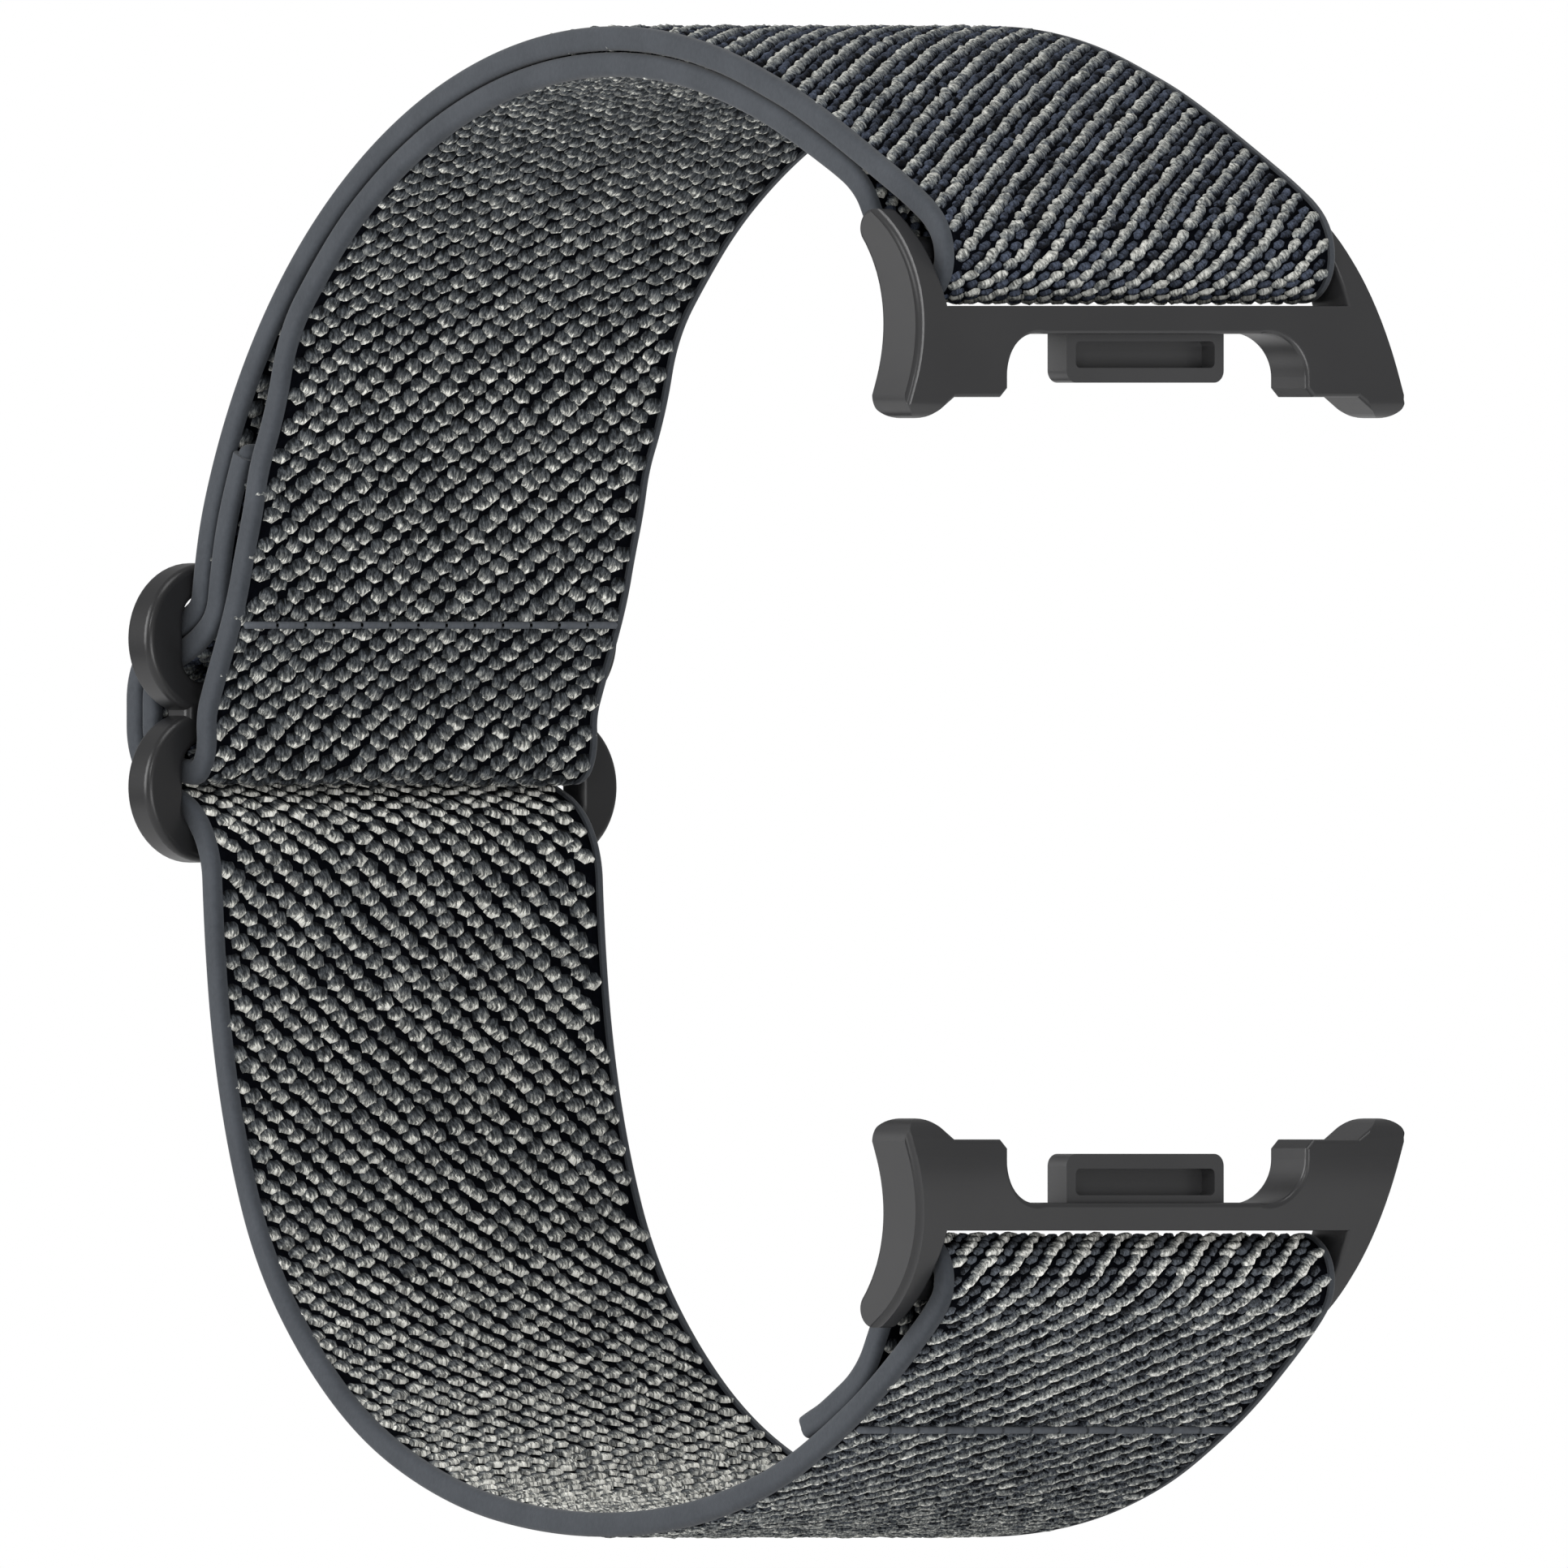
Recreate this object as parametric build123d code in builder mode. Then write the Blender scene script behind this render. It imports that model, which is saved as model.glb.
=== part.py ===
# Braided elastic watch strap: a loop of elastic with a three-bar slider buckle and two connectors
# that slide into the ends of a watch case. +X points from the buckle to the watch, +Y runs across
# the strap, and +Z points to the upper connector. The origin is the middle of the whole strap.

import os
from math import atan2, cos, degrees, radians, sin, sqrt

from build123d import *

os.makedirs("parts", exist_ok=True)

# Driving dimensions of the loop
loop_height = 68.2
loop_depth = 61.5
case_centre_z = 0.6
crown_radius = 31.5
crown_setback = 4.05

# Elastic strip
strap_width = 22.4
strap_thickness = 1.12
strap_edge_radius = 0.5
layer_gap = 0.06
seat_gap = 0.04

# Slider buckle
buckle_width = 27.0
buckle_depth = 1.7
buckle_bar_spacing = 6.7
buckle_lobe_radius = 3.41
buckle_ring = 1.46
buckle_centre_bar = 2.8
buckle_rise = 0.5
buckle_notch_depth = 2.3
buckle_side_gap = 0.2
buckle_slot_corner = 1.1
buckle_clearance = 0.8
buckle_edge_radius = 0.35
buckle_front_gap = 0.75
buckle_arc_radius = 3.0
buckle_arc_straight = 1.2

# Crossbar that the elastic is folded round
crossbar_radius = 0.9
crossbar_running_gap = 0.12
crossbar_setback = 3.3
crossbar_rise = 23.1
crossbar_seat_gap = 0.02
crossbar_seat_depth = 0.6

# Connector
connector_depth = 2.8
connector_tip_z = 15.8
connector_foot_z = 16.75
connector_straight_z = 17.5
connector_top_z = 25.25
connector_bend_radius = 8.84
connector_top_half_width = 12.6
connector_tip_half_width = 14.3
connector_side_bulge = 0.18
horn_tip_radius = 1.05
horn_tip_angle = -125
horn_end_radius = 0.9
foot_inner_half_width = 8.55
foot_wall = 0.9
foot_chamfer = 0.4
arch_half_width = 6.2
bridge_bottom_z = 19.6
bridge_top_z = 20.87
side_gap = 0.25
connector_edge_radius = 0.2
arm_end_radius = 0.8
cut_overrun = 1.0
cove_radius = 0.28

# Latch that snaps into the watch case
latch_width = 9.0
latch_depth = 1.4
latch_tip_z = 17.4
latch_front_setback = 0.95
latch_corner_radius = 0.55
latch_window_width = 7.96
latch_window_height = 1.2
latch_window_depth = 0.95
latch_window_radius = 0.25
latch_window_tip_gap = 0.67
latch_gap = 0.1
latch_shoulder_width = 0.4
latch_shoulder_height = 0.22
latch_lip = 0.2
latch_pocket_roof = 0.2
latch_spring_thickness = 0.1
latch_spring_length = 8.0
latch_spring_depth = 0.9
latch_spring_gap = 0.02

# Stitches
stitch_count = 13
stitch_length = 1.25
stitch_height = 0.26
stitch_proud = 0.16
stitch_margin = 0.7

# Places worked out from the sizes above
top_z = loop_height / 2
bottom_z = -top_z
back_x = -loop_depth / 2
front_x = loop_depth / 2
half_thickness = strap_thickness / 2
layer_pitch = strap_thickness + layer_gap

crown_centre = (back_x + crown_radius + crown_setback, top_z - crown_radius)
buckle_centre_z = crown_centre[1] + buckle_rise
pin_x = front_x - crossbar_setback
fold_radius = crossbar_radius + crossbar_running_gap + half_thickness

buckle_front_x = back_x + 2 * strap_thickness + layer_gap + buckle_front_gap
buckle_back_x = buckle_front_x + buckle_depth
buckle_mid_x = buckle_front_x + buckle_depth / 2
upper_bar_low_z = buckle_centre_z + buckle_bar_spacing / 2 + buckle_lobe_radius - buckle_ring
centre_bar_top_z = buckle_centre_z + buckle_centre_bar / 2
centre_bar_low_z = buckle_centre_z - buckle_centre_bar / 2
lower_bar_top_z = buckle_centre_z - buckle_bar_spacing / 2 - buckle_lobe_radius + buckle_ring
slot_height = upper_bar_low_z - centre_bar_top_z


# The route of the elastic is a list of stations (x, z, heading in degrees). Between two
# stations it runs along two tangent arcs, or straight where it turns less than this.
straight_turn = 0.05


def direction(heading):
    return cos(radians(heading)), sin(radians(heading))


def beside(station, distance):
    """A station moved to the left of its heading."""
    x, z, heading = station
    left = direction(heading + 90)
    return x + distance * left[0], z + distance * left[1], heading


def on_circle(centre, radius, heading):
    """A station on a circle that is gone round anticlockwise."""
    out = direction(heading - 90)
    return centre[0] + radius * out[0], centre[1] + radius * out[1], heading


def bend_between(start, end):
    """Where two tangent arcs from one station to the next one meet."""
    a = direction(start[2])
    b = direction(end[2])
    run = (end[0] - start[0], end[1] - start[1])
    ahead = run[0] * (a[0] + b[0]) + run[1] * (a[1] + b[1])
    spread = 2 * (1 - a[0] * b[0] - a[1] * b[1])
    square = run[0] ** 2 + run[1] ** 2
    reach = square / (ahead + sqrt(ahead ** 2 + spread * square))
    near = (start[0] + reach * a[0], start[1] + reach * a[1])
    far = (end[0] - reach * b[0], end[1] - reach * b[1])
    heading = degrees(atan2(far[1] - near[1], far[0] - near[0]))
    return (near[0] + far[0]) / 2, (near[1] + far[1]) / 2, heading


def lay_strip(stations):
    """Lines and tangent arcs through the stations, for use inside a BuildLine."""
    for start, end in zip(stations, stations[1:]):
        middle = bend_between(start, end)
        for near, far in ((start, middle), (middle, end)):
            chord = degrees(atan2(far[1] - near[1], far[0] - near[0]))
            turn = (chord - near[2] + 180) % 360 - 180
            if abs(turn) < straight_turn:
                Line(near[:2], far[:2])
            else:
                TangentArc(near[:2], far[:2], tangent=direction(near[2]))


def strip_along(stations, width):
    """A flat elastic strip, rounded at its edges, that follows the stations."""
    with BuildPart() as strip:
        with BuildLine(Plane.XZ) as route:
            lay_strip(stations)
        square_end = Plane(origin=route.line @ 0, x_dir=(0, 1, 0), z_dir=route.line % 0)
        with BuildSketch(square_end):
            RectangleRounded(width, strap_thickness, strap_edge_radius)
        sweep(path=route.line)
    return strip


def turned(station):
    """The same place, passed the other way."""
    return station[0], station[1], station[2] - 180


def on_crown(angle, depth):
    """A station on the crown, at an angle left of straight up, going towards the buckle."""
    return on_circle(crown_centre, crown_radius - half_thickness - depth, angle + 180)


def in_loop(x_share, z_share, heading):
    """A station whose middle line passes through shares of the loop."""
    return x_share * loop_depth, z_share * loop_height, heading


def on_outline(x_share, z_share, heading):
    """A station whose outer face passes through shares of the loop."""
    return beside(in_loop(x_share, z_share, heading), half_thickness)


upper_pin = (pin_x, case_centre_z + crossbar_rise)
lower_pin = (pin_x, case_centre_z - crossbar_rise)

# Stations that the layers share behind and in front of the buckle
arc_centre_x = back_x + half_thickness + buckle_arc_radius
arc_top = (arc_centre_x, buckle_centre_z + buckle_arc_straight / 2)
arc_bottom = (arc_centre_x, buckle_centre_z - buckle_arc_straight / 2)
behind_upper_bar = (buckle_back_x + half_thickness + seat_gap, upper_bar_low_z, 262)
in_upper_slot = (buckle_mid_x, upper_bar_low_z - 1.1 * layer_pitch, 205)
outer_arc = [
    on_circle(arc_top, buckle_arc_radius, 215),
    on_circle(arc_top, buckle_arc_radius, 270),
    on_circle(arc_bottom, buckle_arc_radius, 270),
    on_circle(arc_bottom, buckle_arc_radius, 325),
]
in_lower_slot = (buckle_mid_x, lower_bar_top_z + layer_pitch, 337)

shoulder = on_outline(0.3098, 0.4528, 156)
outer_stations = [
    on_circle(upper_pin, fold_radius, -40),
    on_circle(upper_pin, fold_radius, 25),
    on_circle(upper_pin, fold_radius, 90),
    on_outline(0.4675, 0.3765, 135),
    on_outline(0.4390, 0.3944, 150),
    on_outline(0.3977, 0.4141, 153),
    shoulder,
    on_crown(-19, 0),
    on_crown(0, 0),
    on_crown(40, 0),
    on_crown(71, 0),
    behind_upper_bar,
    in_upper_slot,
    *outer_arc,
    in_lower_slot,
]

crease = (buckle_mid_x - slot_height / 20, centre_bar_low_z - slot_height * 0.3, 352)
crease_end = (buckle_back_x + slot_height / 6, centre_bar_low_z - slot_height * 0.24, 60)
behind_centre_bar = (buckle_back_x + layer_pitch, buckle_centre_z + strap_thickness / 2, 67)
behind_slot_z = upper_bar_low_z - slot_height * 0.28
behind_slot = (buckle_back_x + 2.37 * layer_pitch, behind_slot_z, 67.5)

inner_stations = [
    on_crown(66, layer_pitch),
    on_crown(71, layer_pitch),
    beside(behind_upper_bar, layer_pitch),
    beside(in_upper_slot, layer_pitch),
    *[beside(station, layer_pitch) for station in outer_arc],
    crease,
    crease_end,
    behind_centre_bar,
    behind_slot,
    turned(on_crown(72, 2.4 * layer_pitch)),
    turned(on_crown(64, 2.1 * layer_pitch)),
    turned(on_crown(50, 1.1 * layer_pitch)),
    turned(on_crown(38, layer_pitch)),
    turned(on_crown(0, layer_pitch)),
    turned(on_crown(-14, layer_pitch)),
    turned(beside(shoulder, layer_pitch)),
    turned(beside(on_outline(0.3500, 0.4359, 154.5), layer_pitch)),
    in_loop(0.3735, 0.3933, -43),
    in_loop(0.3906, 0.3710, -57),
    on_circle(upper_pin, fold_radius, -40),
]

lobe_low_z = buckle_centre_z - buckle_bar_spacing / 2 - buckle_lobe_radius
below_buckle = (buckle_back_x + buckle_clearance, lobe_low_z - buckle_clearance, -87)
lower_sewn = on_outline(0.3626, -0.4280, 31)
lower_stations = [
    in_lower_slot,
    beside(below_buckle, half_thickness),
    on_outline(-0.3898, -0.2060, -77),
    on_outline(-0.3190, -0.3526, -52),
    on_outline(-0.1857, -0.4523, -26),
    on_outline(0.0663, -0.5, 0),
    on_outline(0.2663, -0.4710, 19.5),
    lower_sewn,
    on_outline(0.4501, -0.3701, 40),
    on_circle(lower_pin, fold_radius, 50),
    on_circle(lower_pin, fold_radius, 90),
    on_circle(lower_pin, fold_radius, 150),
    on_circle(lower_pin, fold_radius, 234),
    turned(in_loop(0.3946, -0.3630, 62)),
    turned(in_loop(0.3766, -0.3896, 48)),
    turned(beside(on_outline(0.3480, -0.4385, 29.5), layer_pitch)),
    turned(beside(on_outline(0.3195, -0.4503, 26), layer_pitch)),
]

inner_run = strip_along(inner_stations, strap_width)
inner_run.part.label = "webbing_inner_run"
export_step(inner_run.part, "parts/webbing_inner_run.step")

outer_run = strip_along(outer_stations, strap_width)
outer_run.part.label = "webbing_outer_run"
export_step(outer_run.part, "parts/webbing_outer_run.step")

lower_run = strip_along(lower_stations, strap_width)
lower_run.part.label = "webbing_lower_run"
export_step(lower_run.part, "parts/webbing_lower_run.step")

# Slider buckle: two joined lobes with a bar above, between and below the two slots
slot_width = strap_width + 2 * buckle_side_gap
with BuildPart() as buckle:
    with BuildSketch(Plane.YZ.offset(buckle_front_x)):
        with Locations((0, buckle_centre_z)):
            with GridLocations(0, buckle_bar_spacing, 1, 2):
                SlotOverall(buckle_width, 2 * buckle_lobe_radius)
            Rectangle(buckle_width - 2 * buckle_notch_depth, buckle_bar_spacing)
        slot_shift = (centre_bar_top_z + upper_bar_low_z) / 2 - buckle_centre_z
        with Locations((0, buckle_centre_z + slot_shift), (0, buckle_centre_z - slot_shift)):
            RectangleRounded(slot_width, slot_height, buckle_slot_corner, mode=Mode.SUBTRACT)
    extrude(amount=buckle_depth)
    rims = buckle.faces().filter_by(Axis.X).edges()
    fillet(rims, buckle_edge_radius)
buckle.part.label = "buckle_frame"
export_step(buckle.part, "parts/buckle_frame.step")


# Stitches: short rounded threads side by side across the strip
def stitch_row(station, face_side):
    """Threads on one face of the strip, at a station of its middle line."""
    surface = beside(station, face_side * (half_thickness + seat_gap))
    up = direction(station[2] + 90 * face_side)
    along = direction(station[2])
    seat = Plane(
        origin=(surface[0], 0, surface[1]), x_dir=(0, 1, 0), z_dir=(up[0], 0, up[1])
    )
    pitch = (strap_width - 2 * stitch_margin) / stitch_count
    with BuildPart() as row:
        with BuildSketch(seat):
            with GridLocations(pitch, 0, stitch_count, 1):
                SlotOverall(stitch_length, stitch_height)
        extrude(amount=stitch_proud)
    return row


# Connector, drawn for the upper end with heights counted from the middle of the watch case
case_centre = (0, 0, case_centre_z)
front_plane = Plane(origin=case_centre, x_dir=(0, 1, 0), z_dir=(1, 0, 0))
side_plane = Plane(origin=case_centre, x_dir=(1, 0, 0), z_dir=(0, -1, 0))
level_plane = Plane(origin=case_centre, x_dir=(1, 0, 0), z_dir=(0, 0, 1))
case_mirror = Plane.XY.offset(case_centre_z)

mouth_half_width = strap_width / 2 + side_gap
crossbar_half_length = mouth_half_width + crossbar_seat_depth
arm_end_x = connector_top_half_width
tip_x = connector_tip_half_width
latch_front_x = front_x - latch_front_setback
latch_mid_x = latch_front_x - latch_depth / 2
pocket_top_z = bridge_top_z - latch_pocket_roof
shoulder_low_z = bridge_bottom_z + latch_lip
latch_top_z = shoulder_low_z + latch_shoulder_height
shoulder_width = latch_width + 2 * latch_shoulder_width


def half_front():
    """Right half of the front outline, from the middle of the bridge round the foot."""
    side_middle = ((arm_end_x + tip_x) / 2, (connector_top_z + connector_tip_z) / 2)
    Polyline(
        (0, bridge_top_z),
        (mouth_half_width, bridge_top_z),
        (mouth_half_width, connector_top_z),
        (arm_end_x, connector_top_z),
    )
    ThreePointArc(
        (arm_end_x, connector_top_z),
        (side_middle[0] - connector_side_bulge, side_middle[1]),
        (tip_x, connector_tip_z + horn_tip_radius),
    )
    under = direction(horn_tip_angle)
    horn_end = (
        tip_x + horn_tip_radius * (under[0] - 1),
        connector_tip_z + horn_tip_radius * (under[1] + 1),
    )
    TangentArc(
        (tip_x, connector_tip_z + horn_tip_radius), horn_end, tangent=(0, -1)
    )
    horn_rise = (connector_foot_z - horn_end[1]) / under[0]
    Polyline(
        horn_end,
        (horn_end[0] - horn_rise * under[1], connector_foot_z),
        (foot_inner_half_width, connector_foot_z),
        (foot_inner_half_width, connector_foot_z + foot_wall),
    )
    TangentArc(
        (foot_inner_half_width, connector_foot_z + foot_wall),
        (arch_half_width, bridge_bottom_z),
        tangent=(0, 1),
    )
    Line((arch_half_width, bridge_bottom_z), (0, bridge_bottom_z))
    Line((0, bridge_bottom_z), (0, bridge_top_z))


def side_profile():
    """Side outline: straight at the case, then curving back along the wrist."""
    rise = connector_top_z - connector_straight_z
    lean = connector_bend_radius - sqrt(connector_bend_radius ** 2 - rise ** 2)
    for face in (front_x, front_x - connector_depth):
        Line((face, connector_tip_z), (face, connector_straight_z))
        TangentArc(
            (face, connector_straight_z),
            (face - lean, connector_top_z),
            tangent=(0, 1),
        )
    for level, shift in ((connector_tip_z, 0), (connector_top_z, lean)):
        Line((front_x - shift, level), (front_x - connector_depth - shift, level))


def horn_rounding(face_x, inward):
    """The corner that rounding takes off under the horns, at the front or the back."""
    round_z = connector_tip_z + horn_end_radius
    low_z = connector_tip_z - cut_overrun
    outside_x = face_x - inward * cut_overrun
    inside_x = face_x + inward * horn_end_radius
    TangentArc((face_x, round_z), (inside_x, connector_tip_z), tangent=(0, -1))
    Polyline(
        (inside_x, connector_tip_z),
        (inside_x, low_z),
        (outside_x, low_z),
        (outside_x, round_z),
        (face_x, round_z),
    )


def is_front_corner(edge):
    """Edges between the front and the sides, from the horns up to the arm ends."""
    middle = edge.center()
    wide = abs(middle.Y) > connector_top_half_width
    forward = middle.X > front_x - connector_depth / 2
    return wide and forward and middle.Z - case_centre_z > connector_tip_z + horn_tip_radius


def is_rim(edge):
    """Edges that run round the front and the back of the connector, below its arm ends."""
    height = edge.center().Z - case_centre_z
    across = abs((edge % 0.5).X) < cos(radians(30))
    flat_join = abs(height - connector_straight_z) < seat_gap
    low = height < (crossbar_rise + connector_top_z) / 2
    return across and low and not flat_join and not is_front_corner(edge)


with BuildPart() as connector:
    with BuildSketch(front_plane):
        with BuildLine():
            half_front()
        make_face()
        mirror(about=Plane.YZ)
    extrude(amount=loop_depth)
    with BuildSketch(side_plane):
        with BuildLine():
            side_profile()
        make_face()
    extrude(amount=loop_depth, both=True, mode=Mode.INTERSECT)
    arm_ends = connector.faces().sort_by(Axis.Z)[-2:]
    fillet(arm_ends.edges().filter_by(Axis.Y), arm_end_radius)
    feet = connector.faces().filter_by(Axis.Z).sort_by(Axis.Z)[:2]
    inner_ends = feet.edges().filter_by(Axis.X).sort_by(lambda e: abs(e.center().Y))[:2]
    chamfer(inner_ends, foot_chamfer)
    corners = connector.edges().filter_by(is_front_corner)
    fillet(connector.edges().filter_by(is_rim), connector_edge_radius)
    # A cove along each front corner, which runs out over the horn and the arm end
    for side in (-1, 1):
        with BuildLine() as cove:
            add(corners.filter_by(lambda edge: side * edge.center().Y > 0))
            run = cove.line
            Line(run @ 0, run @ 0 - cut_overrun * (run % 0))
            Line(run @ 1, run @ 1 + cut_overrun * (run % 1))
        with BuildSketch(Plane(origin=cove.line @ 0, z_dir=cove.line % 0)):
            Circle(cove_radius)
        sweep(path=cove.line, mode=Mode.SUBTRACT)
    for face_x, inward in ((front_x, -1), (front_x - connector_depth, 1)):
        with BuildSketch(side_plane):
            with BuildLine():
                horn_rounding(face_x, inward)
            make_face()
        extrude(amount=loop_depth, both=True, mode=Mode.SUBTRACT)
    # Blind seats in the arms for the crossbar
    with BuildSketch(side_plane):
        with Locations((pin_x, crossbar_rise)):
            Circle(crossbar_radius + crossbar_seat_gap)
    extrude(amount=crossbar_half_length, both=True, mode=Mode.SUBTRACT)
    # Pocket in the bridge for the latch, with a lip that keeps its shoulders in
    with BuildSketch(level_plane.offset(shoulder_low_z)):
        with Locations((latch_mid_x, 0)):
            Rectangle(latch_depth + 2 * latch_gap, shoulder_width + 2 * latch_gap)
    extrude(amount=pocket_top_z - shoulder_low_z, mode=Mode.SUBTRACT)
    with BuildSketch(level_plane.offset(connector_foot_z)):
        with Locations((latch_mid_x, 0)):
            Rectangle(latch_depth + 2 * latch_gap, latch_width + 2 * latch_gap)
    extrude(amount=shoulder_low_z - connector_foot_z, mode=Mode.SUBTRACT)

with BuildPart() as crossbar:
    with BuildSketch(side_plane):
        with Locations((pin_x, crossbar_rise)):
            Circle(crossbar_radius)
    extrude(amount=crossbar_half_length - seat_gap, both=True)

# Latch: a plate with a shallow window, held in by the shoulders at its top
with BuildPart() as latch:
    with BuildSketch(level_plane.offset(latch_tip_z)):
        with Locations((latch_mid_x, 0)):
            Rectangle(latch_depth, latch_width)
    extrude(amount=latch_top_z - latch_tip_z)
    tip_corners = latch.edges().filter_by(Axis.X).sort_by(Axis.Z)[:2]
    fillet(tip_corners, latch_corner_radius)
    with BuildSketch(level_plane.offset(shoulder_low_z + seat_gap)):
        with Locations((latch_mid_x, 0)):
            Rectangle(latch_depth, shoulder_width)
    extrude(amount=latch_top_z - shoulder_low_z - seat_gap)
    with BuildSketch(front_plane.offset(latch_front_x)):
        window_z = latch_tip_z + latch_window_tip_gap + latch_window_height / 2
        with Locations((0, window_z)):
            RectangleRounded(latch_window_width, latch_window_height, latch_window_radius)
    extrude(amount=-latch_window_depth, mode=Mode.SUBTRACT)

# Leaf spring, bowed between the latch and the roof of its pocket
with BuildPart() as spring:
    foot_z = latch_top_z + latch_spring_gap
    peak_z = pocket_top_z - latch_spring_gap
    half_spring = latch_spring_length / 2
    with BuildSketch(front_plane.offset(latch_mid_x - latch_spring_depth / 2)):
        with BuildLine():
            ThreePointArc(
                (-half_spring, foot_z),
                (0, peak_z - latch_spring_thickness),
                (half_spring, foot_z),
            )
            Line((half_spring, foot_z), (half_spring, foot_z + latch_spring_thickness))
            ThreePointArc(
                (half_spring, foot_z + latch_spring_thickness),
                (0, peak_z),
                (-half_spring, foot_z + latch_spring_thickness),
            )
            Line((-half_spring, foot_z + latch_spring_thickness), (-half_spring, foot_z))
        make_face()
    extrude(amount=latch_spring_depth)

for name, piece in (
    ("connector", connector),
    ("crossbar", crossbar),
    ("latch", latch),
    ("latch_spring", spring),
):
    lower_piece = mirror(piece.part, about=case_mirror)
    for end, shape in (("upper", piece.part), ("lower", lower_piece)):
        shape.label = f"{end}_{name}"
        export_step(shape, f"parts/{end}_{name}.step")

# The two seams
seams = (
    ("buckle_seam", behind_slot, -1),
    ("lower_seam", lower_sewn, -1),
)
for name, station, face_side in seams:
    seam = stitch_row(station, face_side)
    seam.part.label = name
    export_step(seam.part, f"parts/{name}.step")
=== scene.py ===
# %% [markdown]
# # A woven elastic watch strap
# The strap is one loop of slate and grey elastic. It is threaded through a flat slider buckle,
# and folded at both ends round a crossbar in a black metal connector. The solids of the buckle,
# the connectors and the latches come from the frame and keep their shape here. The elastic gets
# its real build: a dark core, raised yarns on both faces and a smooth slate edge.

# %% Load the frame
import math

import bmesh
import bpy
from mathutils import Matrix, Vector


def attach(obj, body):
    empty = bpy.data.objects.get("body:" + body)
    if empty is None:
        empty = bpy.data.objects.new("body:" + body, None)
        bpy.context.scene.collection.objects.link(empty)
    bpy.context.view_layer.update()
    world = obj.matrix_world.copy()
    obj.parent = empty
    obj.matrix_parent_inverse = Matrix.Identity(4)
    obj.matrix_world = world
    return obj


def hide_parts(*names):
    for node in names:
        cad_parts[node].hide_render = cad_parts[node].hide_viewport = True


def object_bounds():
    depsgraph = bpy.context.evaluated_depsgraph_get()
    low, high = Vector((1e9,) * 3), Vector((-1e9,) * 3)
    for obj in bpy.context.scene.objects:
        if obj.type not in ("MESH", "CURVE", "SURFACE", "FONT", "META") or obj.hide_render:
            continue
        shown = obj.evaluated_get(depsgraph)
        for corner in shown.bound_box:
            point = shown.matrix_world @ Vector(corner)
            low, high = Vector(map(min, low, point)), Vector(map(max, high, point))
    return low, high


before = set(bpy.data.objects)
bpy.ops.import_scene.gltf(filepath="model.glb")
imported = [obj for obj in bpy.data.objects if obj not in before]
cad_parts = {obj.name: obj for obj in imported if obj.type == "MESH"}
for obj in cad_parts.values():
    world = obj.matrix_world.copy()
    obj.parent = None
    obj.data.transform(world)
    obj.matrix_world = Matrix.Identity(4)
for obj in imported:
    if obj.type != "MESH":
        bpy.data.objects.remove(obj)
scene = bpy.context.scene
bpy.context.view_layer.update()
mm = 0.001


def link_object(name, data):
    """A new object in the scene."""
    made = bpy.data.objects.new(name, data)
    scene.collection.objects.link(made)
    return made


# %% [markdown]
# ## The camera
# The photograph is a parallel view of the strap from the front and its near side, in which far
# parts are as large as near ones. An orthographic camera sees the same way. It is aimed level,
# past the middle of the loop.

# %% Camera
view_azimuth = math.radians(52)
aim = Vector((1.26, 1.61, -0.11)) * mm
frame_width = 70.77 * mm
backwards = Vector((math.sin(view_azimuth), -math.cos(view_azimuth), 0))

camera_data = bpy.data.cameras.new("parallel_view")
camera_data.type = "ORTHO"
camera_data.ortho_scale = frame_width
camera_distance = 0.3
camera_data.clip_start, camera_data.clip_end = 0.01, 2.0
camera = link_object("camera", camera_data)
camera.location = aim + backwards * camera_distance
camera.rotation_mode = "QUATERNION"
camera.rotation_quaternion = (-backwards).to_track_quat("-Z", "Y")
scene.camera = camera
print("camera", camera_distance, "m away")

# %% [markdown]
# ## Node trees written as sentences
# A shader or a geometry recipe is a graph of nodes. Wiring it by hand hides the idea, so a small
# class stands for one output socket, and arithmetic on it adds the Math nodes. Every other node
# comes from one method that sets the node up first and then fills its sockets.


# %% Wires and recipes
class Wire:
    """An output of a node. Arithmetic on wires adds Math nodes."""

    def __init__(self, recipe, socket):
        self.recipe, self.socket = recipe, socket

    def maths(self, operation, *others):
        values = dict(enumerate((self, *others)))
        return self.recipe.add("ShaderNodeMath", {"operation": operation}, values)

    def __add__(self, other):
        return self.maths("ADD", other)

    def __sub__(self, other):
        return self.maths("SUBTRACT", other)

    def __rsub__(self, other):
        values = {0: other, 1: self}
        return self.recipe.add("ShaderNodeMath", {"operation": "SUBTRACT"}, values)

    def __mul__(self, other):
        return self.maths("MULTIPLY", other)

    def __truediv__(self, other):
        return self.maths("DIVIDE", other)

    __radd__ = __add__
    __rmul__ = __mul__

    def output(self, name):
        """Another output of the same node."""
        node = self.socket.node
        return Wire(self.recipe, next(s for s in node.outputs if s.name == name and s.enabled))


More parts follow.
